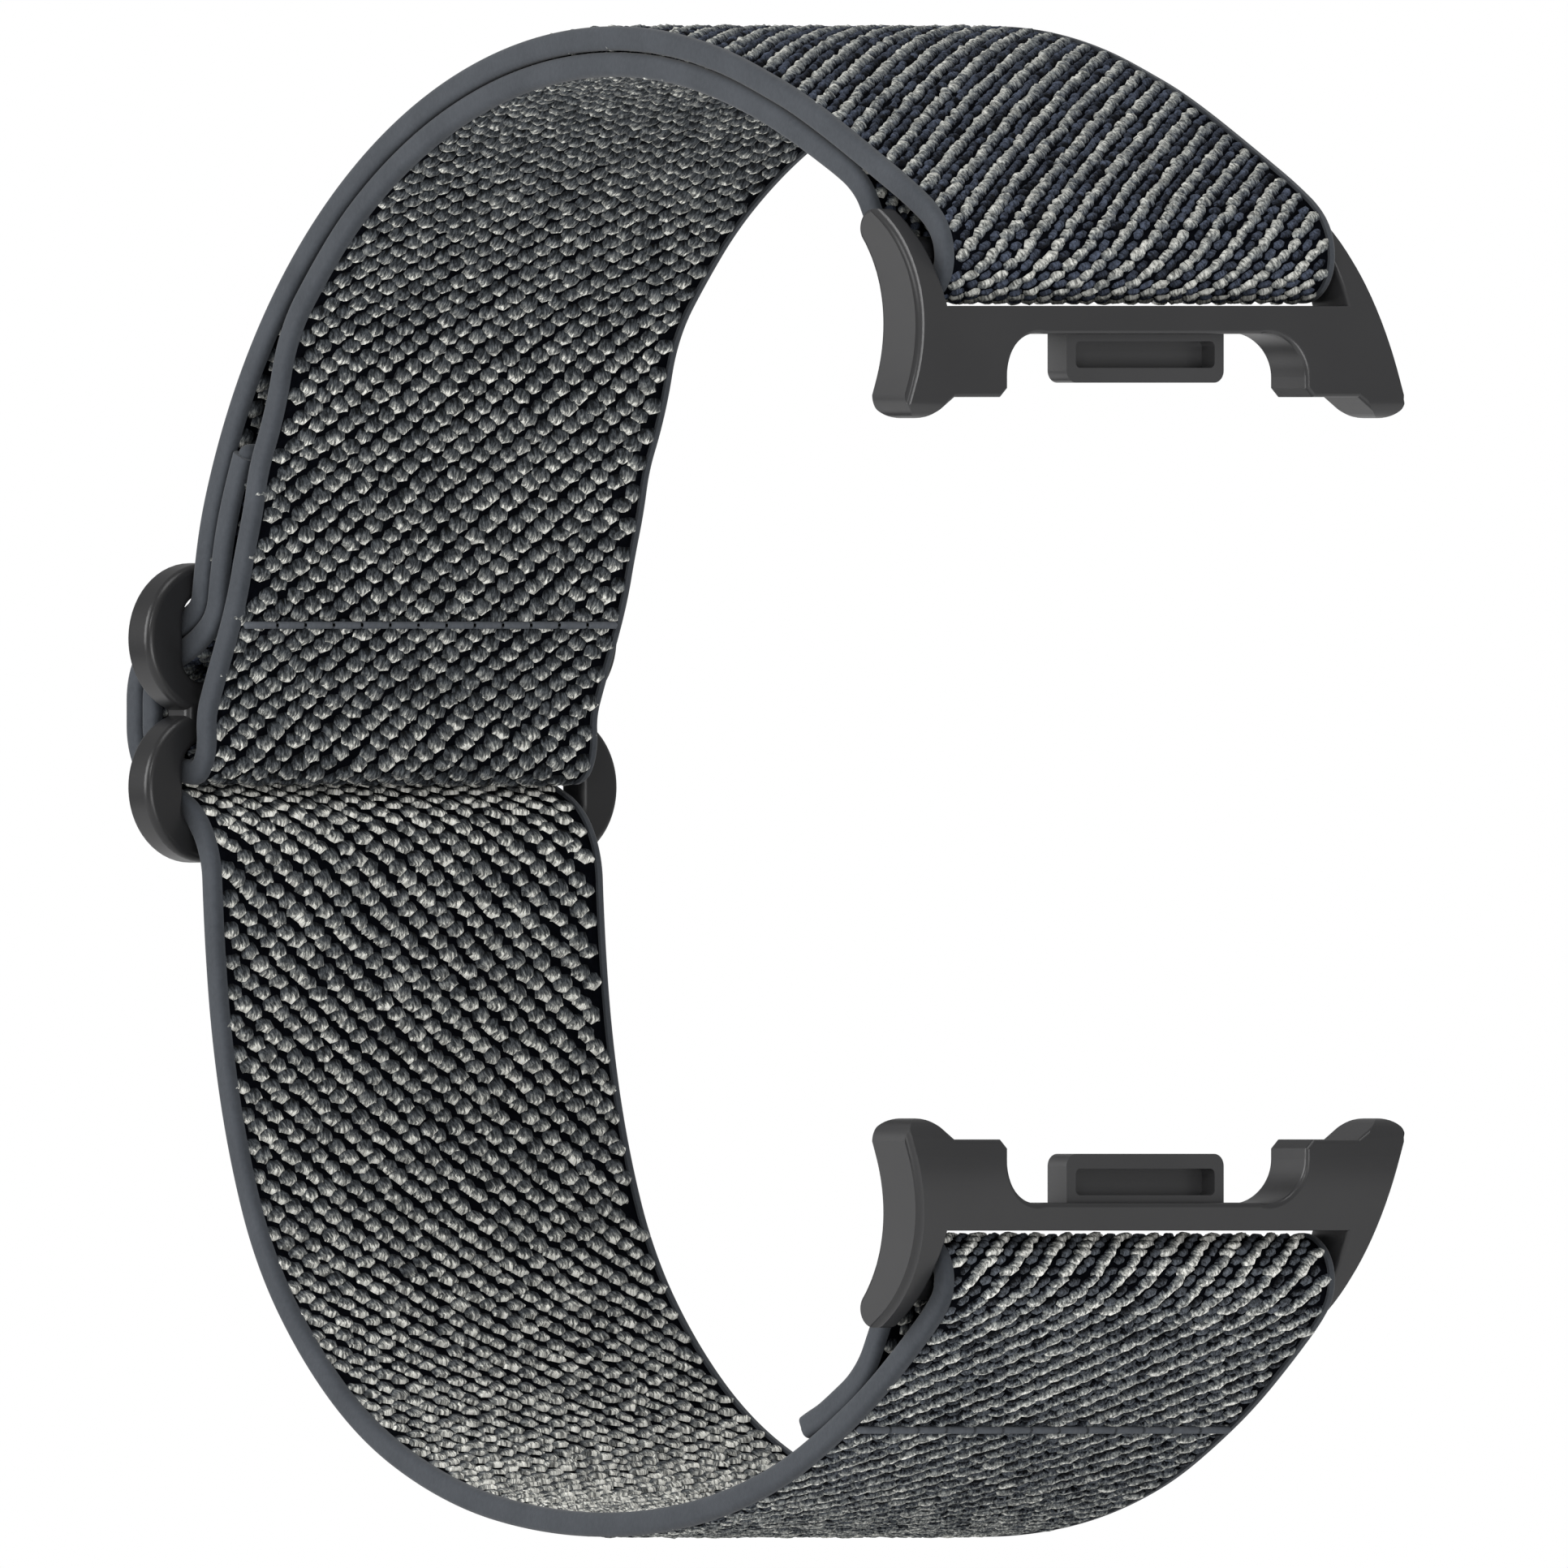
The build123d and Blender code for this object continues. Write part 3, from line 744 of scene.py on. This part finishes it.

# %% [markdown]
# Between the yarns the eye falls into the cloth. The ground there is nearly black and dull: the
# core's own dark colour with painted shade for that depth, without modelling the threads below.

# %% Finish: the dark ground between the yarns, with painted shade
ground, ground_recipe, ground_shader = finish("dark_core_painted_shade", roughness=0.95, specular=0.03)
ground_noise = grain(ground_recipe, own_place(ground_recipe), scale=2600.0).output("Fac")
connect(
    ground_recipe,
    ground_shader,
    # The nearly black colours are painted shade over the core's own dark tone.
    base_color=ground_recipe.mix(ground_noise, colour(1, 1, 2), colour(12, 14, 20)),
    normal=relief(ground_recipe, ground_noise, strength=0.6, distance=0.0001),
)

# %% [markdown]
# The edges are woven tight, smooth and slate grey. Cloudy noise, fine fibres and a little sheen
# keep them from looking like rubber. The thread is the same fibre, a tone lighter.

# %% Finish: the slate edge and the thread
cloud_scale, fibre_scale = 420.0, 4200.0
cloud_share, fibre_share = 0.6, 0.4
edge, edge_recipe, edge_shader = finish("slate_edge", roughness=0.82, specular=0.25)
edge_shader.inputs["Sheen Weight"].default_value = 0.15
edge_place = own_place(edge_recipe)
edge_cloud = grain(edge_recipe, edge_place, cloud_scale).output("Fac")
edge_fibre = grain(edge_recipe, edge_place, fibre_scale, 2.0).output("Fac")
edge_blend = edge_cloud * cloud_share + edge_fibre * fibre_share
connect(
    edge_recipe,
    edge_shader,
    base_color=edge_recipe.mix(edge_blend, colour(42, 46, 51), colour(74, 78, 84)),
    normal=relief(edge_recipe, edge_fibre, strength=0.35, distance=0.00006),
)
thread, thread_recipe, thread_shader = finish("slate_thread", roughness=0.8, specular=0.2)
thread_fibre = grain(thread_recipe, own_place(thread_recipe), fibre_scale, 2.0).output("Fac")
connect(
    thread_recipe,
    thread_shader,
    base_color=thread_recipe.mix(thread_fibre, colour(78, 82, 88), colour(104, 108, 114)),
)
print("edge finish", edge.name, "thread finish", thread.name)

# %% [markdown]
# The connectors, the latches and the buckle are metal with a thin satin black coat. The coat is
# very even. Fine noise in its roughness breaks up the highlights, and wear shows only faintly.


# %% Finish: satin black coat
def tinted(shade, factor):
    """A darker or lighter version of a colour."""
    return [v * factor for v in shade[:3]] + [1]


coat_patches, coat_grain = 160.0, 5200.0
coat_dark, coat_light, coat_drift = 0.86, 1.14, 0.06


def coated_finish(name, shade, roughness):
    """A satin black coat with a fine grain."""
    material, recipe, shader = finish(name, roughness)
    place = own_place(recipe)
    cloud = grain(recipe, place, coat_patches).output("Fac")
    fine = grain(recipe, place, coat_grain, 2.0).output("Fac")
    connect(
        recipe,
        shader,
        base_color=recipe.mix(cloud, tinted(shade, coat_dark), tinted(shade, coat_light)),
        roughness=roughness - coat_drift + cloud * coat_drift + fine * coat_drift,
        normal=relief(recipe, fine, strength=0.08, distance=0.00002),
    )
    return material


connector_coat = coated_finish("connector_coat", colour(50, 50, 51), 0.3)
# The buckle has the same coat, painted darker as painted shade where it sits inside the loop.
buckle_coat_painted_shade = coated_finish("buckle_coat_painted_shade", colour(36, 36, 37), 0.3)
latch_coat = coated_finish("latch_coat", colour(60, 60, 61), 0.32)
print("coats", connector_coat.name, buckle_coat_painted_shade.name, latch_coat.name)

# %% [markdown]
# The crossbars and the latch springs are bare steel. Noise that is squeezed in two directions
# gives the fine lines that drawing leaves along a bar.


# %% Finish: brushed steel of the crossbars and springs
line_scale = (9000, 300, 9000)
line_dark, line_rough = 0.8, 0.2


def steel_finish(name, shade, roughness):
    """Steel with fine lines along Y, where the bar was drawn."""
    material, recipe, shader = finish(name, roughness)
    shader.inputs["Metallic"].default_value = 1.0
    place = own_place(recipe)
    drawn = recipe.add("ShaderNodeMapping", None, {"Vector": place, "Scale": line_scale})
    lines = grain(recipe, drawn, 1.0, 2.0).output("Fac")
    connect(
        recipe,
        shader,
        base_color=recipe.mix(lines, tinted(shade, line_dark), shade),
        roughness=roughness - line_rough / 2 + lines * line_rough,
        normal=relief(recipe, lines, strength=0.1, distance=0.00001),
    )
    return material


crossbar_steel = steel_finish("crossbar_steel", colour(84, 84, 86), 0.4)
spring_steel = steel_finish("spring_steel", colour(190, 191, 194), 0.3)
print("steels", crossbar_steel.name, spring_steel.name)

# %% [markdown]
# The rigid pieces keep the meshes of the frame. Only their materials change.

# %% Give the carried-over nodes their finish
node_finishes = {"buckle_frame": buckle_coat_painted_shade}
for end in ("upper", "lower"):
    node_finishes[f"{end}_connector"] = connector_coat
    node_finishes[f"{end}_latch"] = latch_coat
    node_finishes[f"{end}_crossbar"] = crossbar_steel
    node_finishes[f"{end}_latch_spring"] = spring_steel
for name, material in node_finishes.items():
    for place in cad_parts[name].material_slots:
        place.material = material
print("finished nodes", sorted(node_finishes))

# %% [markdown]
# ## Small shapes that are repeated
# A raised yarn is a low dome with its highest point near its pale end. That end has teeth and
# stands clear of the next yarn. Texture coordinates run across and along it. It has few faces,
# because there are thousands. A ring has a spread, a rise and the extra rise of its pale end.


# %% Raised yarn
def built_object(name, build):
    """Keeps a build as a smooth object."""
    for face in build.faces:
        face.smooth = True
    mesh = bpy.data.meshes.new(name)
    build.to_mesh(mesh)
    build.free()
    return link_object(name, mesh)


dome_rings = ((1.0, -0.35, 0.4), (0.86, 0.5, 0.2), (0.48, 0.9, 0.0))


def raised_yarn(name, width, length, height, peak_shift, segments, teeth, squareness):
    """A low dome: X across the strip, Y towards the pale end and Z out of the face."""
    build = bmesh.new()
    uv_layer = build.loops.layers.uv.new("yarn")
    rings = []
    for spread, rise, open_rise in dome_rings:
        ring = []
        for segment in range(segments):
            angle = 2 * math.pi * segment / segments
            side, end = math.cos(angle), math.sin(angle)
            pale = max(0, end)
            tooth = 1 + teeth * spread * pale * (1 if segment % 2 else -1)
            x = spread * width / 2 * math.copysign(abs(side) ** squareness, side)
            y = math.copysign(abs(end) ** squareness, end) * spread * length / 2
            y = y * tooth + (1 - spread) * peak_shift
            ring.append(build.verts.new((x, y, (rise + pale * open_rise) * height)))
        rings.append(ring)
    peak = build.verts.new((0, peak_shift, height))
    for low, high in zip(rings, rings[1:]):
        for segment in range(segments):
            after = (segment + 1) % segments
            build.faces.new((low[segment], low[after], high[after], high[segment]))
    for segment in range(segments):
        build.faces.new((rings[-1][segment], rings[-1][(segment + 1) % segments], peak))
    for face in build.faces:
        for loop in face.loops:
            loop[uv_layer].uv = (loop.vert.co.x / width + 0.5, loop.vert.co.y / length + 0.5)
    return built_object(name, build)


# %% [markdown]
# The wrist's face has round yarns, the outside flatter ones, and the lower outside long strokes.
# The valley yarns are the smallest. The table gives width, length, share of the rise, shift of
# the peak, segments, depth of the teeth and squareness.

# %% Four kinds of yarn
core_half = 0.3 * mm
yarn_rise = half_thickness * mm - core_half
yarn_measures = {
    "inner": (1.14, 0.86, 1.0, 0.16, 12, 0.2, 0.62),
    "outer": (0.96, 0.58, 1.0, 0.05, 12, 0.14, 0.85),
    "stroke": (1.22, 0.52, 1.0, 0.05, 12, 0.16, 0.7),
    "valley": (0.86, 0.44, 0.9, 0.0, 6, 0.0, 1.0),
}
yarn_shapes = {}
for kind, (width, length, rise, shift, *style) in yarn_measures.items():
    size = (width * mm, length * mm, rise * yarn_rise)
    yarn_shapes[kind] = raised_yarn(f"{kind}_yarn", *size, shift * mm, *style)
print("raised yarns", {name: len(made.data.polygons) for name, made in yarn_shapes.items()})

# %% [markdown]
# A stitch and the folded end of a tail are both a bar with round ends, so one function makes them.


# %% Stitch and rounded tail end
def rounded_bar(name, length, radius, segments, end_rings):
    """A bar along Y with round ends."""
    build = bmesh.new()
    rings = []
    for side in (-1, 1):
        for step in range(end_rings):
            lean = (step + 0.5) / end_rings * math.pi / 2
            angle = lean if side < 0 else math.pi / 2 - lean
            y = side * (length / 2 - radius + radius * math.cos(angle))
            across = radius * math.sin(angle)
            ring = []
            for k in range(segments):
                spin = 2 * math.pi * k / segments
                place = (across * math.cos(spin), y, across * math.sin(spin))
                ring.append(build.verts.new(place))
            rings.append(ring)
    for low, high in zip(rings, rings[1:]):
        for k in range(segments):
            after = (k + 1) % segments
            build.faces.new((low[k], high[k], high[after], low[after]))
    build.faces.new(rings[0])
    build.faces.new(rings[-1])
    bmesh.ops.recalc_face_normals(build, faces=build.faces)
    return built_object(name, build)


stitch_length, stitch_radius = 2.0 * mm, 0.19 * mm
stitch = rounded_bar("stitch", stitch_length, stitch_radius, segments=8, end_rings=2)
print("stitch", len(stitch.data.polygons), "faces")

# %% [markdown]
# ## Outlines of the core and of the edge
# The core is a flat dark band between the yarns. The edge is a thicker slate binding that wraps
# round both sides of the strip, flush with the tops of the yarns.


# %% Outlines
def outline_object(name, loops):
    """Closed outlines, drawn with X out of the face and Y across the strip, in millimetres."""
    mesh = bpy.data.meshes.new(name)
    places, edges = [], []
    for loop in loops:
        first = len(places)
        places += [(x * mm, y * mm, 0) for x, y in loop]
        edges += [(first + k, first + (k + 1) % len(loop)) for k in range(len(loop))]
    mesh.from_pydata(places, edges, [])
    return link_object(name, mesh)


edge_wrap, edge_round, edge_overlap, edge_inset = 0.34, 0.3, 0.1, 0.01
corner_steps = 6
core_face = 0.38
core_width = strap_width - 2 * edge_wrap
corners = [(-1, -1), (1, -1), (1, 1), (-1, 1)]
core_loop = [(x * core_face, y * core_width / 2) for x, y in corners]
core_outline = outline_object("core_outline", [core_loop])


def edge_loop(side):
    """The binding's outline on one side: flat inside, rounded outside."""
    outer = strap_width / 2
    half = half_thickness - edge_inset
    inner = outer - edge_wrap - edge_overlap
    points = []
    for corner in (1, -1):
        for step in range(corner_steps + 1):
            angle = math.pi / 2 * step / corner_steps
            turn = angle if corner > 0 else math.pi / 2 - angle
            x = corner * (half - edge_round + edge_round * math.cos(turn))
            y = side * (outer - edge_round + edge_round * math.sin(turn))
            points.append((x, y))
    points += [(-half, side * inner), (half, side * inner)]
    return points if side > 0 else points[::-1]


edge_outline = outline_object("edge_outline", [edge_loop(1), edge_loop(-1)])
print("outlines", len(core_outline.data.edges), len(edge_outline.data.edges))

# %% [markdown]
# ## The three runs of elastic
# Each run gets its core, its edges and the yarns of its two faces. The wrist's side lies to the
# left or the right of a run's heading, and the pale ends point along it or against it. The outside
# has pale and dark yarns by turns: two passes of one recipe, half a column apart.

# %% Rows of yarn
wrist_side, outside = 1, -1
wrist_face = {"outer": 1.0, "inner": -1.0, "lower": 1.0}
bright_end = {"outer": (1.0, 1.0), "inner": (-1.0, 1.0), "lower": (1.0, -1.0)}
columns, bare_margin, seed_gap = 14, 0.58, 10


def yarn_rows(name, run, number, side, kind, material, rows):
    """The yarns of one kind on one face of a run."""
    values = {
        "Yarn": yarn_shapes[kind],
        "Columns": columns,
        "Half width": (strap_width / 2 - bare_margin) * mm,
        "Face": side * wrist_face[run],
        "Bright end": bright_end[run][0 if side == wrist_side else 1],
        "Seed": seed_gap * number,
        "Material": material,
    }
    return run_recipe(name, route_meshes[run], weave_tree, {**values, **rows})


inner_rows = {
    "Row spacing": 0.474 * mm,
    "Column spacing": 1.62 * mm,
    "Shift": 0.33,
    "Lift": core_half,
    "Scatter": 0.07 * mm,
    "Fray": 0.22 * mm,
}
outer_rows = {
    "Row spacing": 0.46 * mm,
    "Column spacing": 1.674 * mm,
    "Shift": 0.325,
    "Slant": 0.5,
    "Lift": core_half + 0.035 * mm,
    "Scatter": 0.06 * mm,
    "Fray": 0.22 * mm,
}
lower_rows = {**outer_rows, "Lift": core_half + 0.02 * mm, "Fray": 0.12 * mm}
valley_place = {"First column": 0.5, "Fray": 0.1 * mm}

# %% Lay the elastic
wrist_kind = ("inner", inner_yarn, inner_rows)
paler_kind = ("outer", outer_yarn, outer_rows)
darker_kind = ("valley", valley_yarn, {**outer_rows, **valley_place})
lower_paler_kind = ("stroke", lower_lit_yarn, lower_rows)
lower_darker_kind = ("valley", lower_valley_yarn_painted_light, {**lower_rows, **valley_place})
core_values = {"Outline": core_outline, "Material": ground}
edge_values = {"Outline": edge_outline, "Material": edge}
runs = len(route_meshes)
woven = {}
for number, (run, route) in enumerate(route_meshes.items()):
    lower = run == "lower"
    paler = lower_paler_kind if lower else paler_kind
    darker = lower_darker_kind if lower else darker_kind
    woven[run] = (
        run_recipe(f"{run}_core", route, sweep_tree, core_values),
        run_recipe(f"{run}_edges", route, sweep_tree, edge_values),
        yarn_rows(f"{run}_wrist_yarns", run, number, wrist_side, *wrist_kind),
        yarn_rows(f"{run}_outside_yarns", run, number + runs, outside, *paler),
        yarn_rows(f"{run}_valley_yarns", run, number + 2 * runs, outside, *darker),
    )

# %% [markdown]
# Shading stays smooth round the bends, and breaks only at the corners of the outlines.

# %% Smooth the swept pieces
sharp_angle = math.radians(40)
for core, edges, *_ in woven.values():
    for piece in (core, edges):
        piece.data.shade_smooth()
        piece.data.set_sharp_from_angle(angle=sharp_angle)

# %% [markdown]
# One seam closes the layers behind the buckle, and one holds the tail at the lower connector.


# %% Seams
stitch_spacing, stitch_count, thread_rise = 1.615, 13, 0.09


def seam(name, station):
    """Stitches on the face that lies to the right of a station's heading."""
    x, z, _ = beside(station, -half_thickness - thread_rise)
    corner = bpy.data.meshes.new(f"{name}_place")
    corner.from_pydata([(x * mm, 0, z * mm)], [], [])
    values = {
        "Stitch": stitch,
        "Spacing": stitch_spacing * mm,
        "Count": stitch_count,
        "Tilt": math.radians(90 - station[2]),
        "Material": thread,
    }
    return run_recipe(name, corner, sewing_tree, values)


seams = {
    "buckle_seam": seam("buckle_seam_thread", behind_slot),
    "lower_seam": seam("lower_seam_thread", lower_sewn),
}

# %% [markdown]
# Elastic that is cut is folded in or sealed, so the ends of the tails are round.

# %% Rounded ends of the two tails
tail_ends = []
side_trim, face_trim = 0.3, 0.02
tail_width, tail_radius = (strap_width - side_trim) * mm, (half_thickness - face_trim) * mm
for run, station in (("inner", routes["inner"][0]), ("lower", routes["lower"][-1])):
    tail = rounded_bar(f"{run}_tail_end", tail_width, tail_radius, segments=16, end_rings=4)
    for vertex in tail.data.vertices:
        vertex.co += Vector((station[0] * mm, 0, station[1] * mm))
    tail.data.materials.append(edge)
    tail_ends.append(tail)
print("seams", sorted(seams), "tail ends", len(tail_ends))

# %% [markdown]
# ## Riding on the bodies
# The elastic, its seams and the buckle are one body, the band. The pieces above stand for the
# plain strips of the frame, which are hidden.

# %% Ride and replace
run_nodes = {
    "outer": "webbing_outer_run",
    "inner": "webbing_inner_run",
    "lower": "webbing_lower_run",
}
for run, pieces in woven.items():
    for piece in pieces:
        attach(piece, "band")
    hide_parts(run_nodes[run])
for node, sewn_row in seams.items():
    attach(sewn_row, "band")
    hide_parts(node)
for tail in tail_ends:
    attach(tail, "band")

for helper in (*yarn_shapes.values(), core_outline, edge_outline, stitch):
    bpy.data.objects.remove(helper)

# %% [markdown]
# ## Light, floor and background
# The photograph has an even white background and soft light from above and from the near side.
# The camera sees a white world, and metal mirrors a greyer one, or it would look pale.

# %% World
world = bpy.data.worlds.new("white_room")
scene.world = world
world.use_nodes = True
room = Recipe(world.node_tree)
background = world.node_tree.nodes["Background"]
rays = room.add("ShaderNodeLightPath")
room_light, mirror_loss, camera_gain = 0.6, 0.3, 0.4
strength = room_light - rays.output("Is Glossy Ray") * mirror_loss
strength = strength + rays.output("Is Camera Ray") * camera_gain
world.node_tree.links.new(strength.socket, background.inputs["Strength"])
background.inputs["Color"].default_value = (1, 1, 1, 1)
print("world", world.name)

# %% [markdown]
# Three broad lamps light the near side, the top and the front at a plain level. A small one near
# the camera draws the thin bright lines along the rounded edges of the metal.


# %% Lamps
def lamp(name, place, size, power):
    """A square soft lamp that faces the middle of the loop."""
    data = bpy.data.lights.new(name, "AREA")
    data.shape = "SQUARE"
    data.size = size
    data.energy = power
    made = link_object(name, data)
    made.location = place
    made.rotation_mode = "QUATERNION"
    made.rotation_quaternion = (-Vector(place)).to_track_quat("-Z", "Y")
    return made


lamps = [
    lamp("near_side_lamp", (-0.19, -0.47, 0.13), size=0.36, power=1.9),
    lamp("top_lamp", (0.15, -0.1, 0.45), size=0.25, power=0.45),
    lamp("front_lamp", (0.52, -0.18, -0.16), size=0.3, power=1.5),
    lamp("rim_lamp", (0.4, -0.46, 0.22), size=0.07, power=0.4),
]
print("lamps", [made.name for made in lamps])

# %% [markdown]
# The floor looks white and still takes a soft shadow, because its glow is only mixed in. To the
# strap it glows a little, as a white table does.

# %% Floor
floor_gap, floor_reach = 0.0004, 0.12
floor_to_camera, floor_to_strap = 0.9, 0.5
floor_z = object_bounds()[0].z - floor_gap
floor_mesh = bpy.data.meshes.new("floor")
floor_places = [(x * floor_reach, y * floor_reach, floor_z) for x, y in corners]
floor_mesh.from_pydata(floor_places, [], [(0, 1, 2, 3)])
floor = link_object("floor", floor_mesh)
floor_finish, floor_recipe, floor_shader = finish("white_floor", roughness=0.9)
floor_shader.inputs["Base Color"].default_value = (0.86, 0.86, 0.86, 1)
floor_glow = floor_recipe.add("ShaderNodeEmission", None, {"Color": (1, 1, 1, 1)})
floor_rays = floor_recipe.add("ShaderNodeLightPath")
floor_share = floor_rays.output("Is Camera Ray") * floor_to_camera
floor_share = floor_share + floor_rays.output("Is Diffuse Ray") * floor_to_strap
floor_plain = Wire(floor_recipe, floor_shader.outputs["BSDF"])
floor_mixed = floor_recipe.add(
    "ShaderNodeMixShader", None, {"Fac": floor_share, 1: floor_plain, 2: floor_glow}
)
floor_recipe.tree.links.new(
    floor_mixed.socket, floor_recipe.tree.nodes["Material Output"].inputs["Surface"]
)
floor_mesh.materials.append(floor_finish)
print("floor at", round(floor_z, 5))

# %% [markdown]
# The Standard view shows the colours as they are written.

# %% Picture settings
scene.view_settings.view_transform = "Standard"
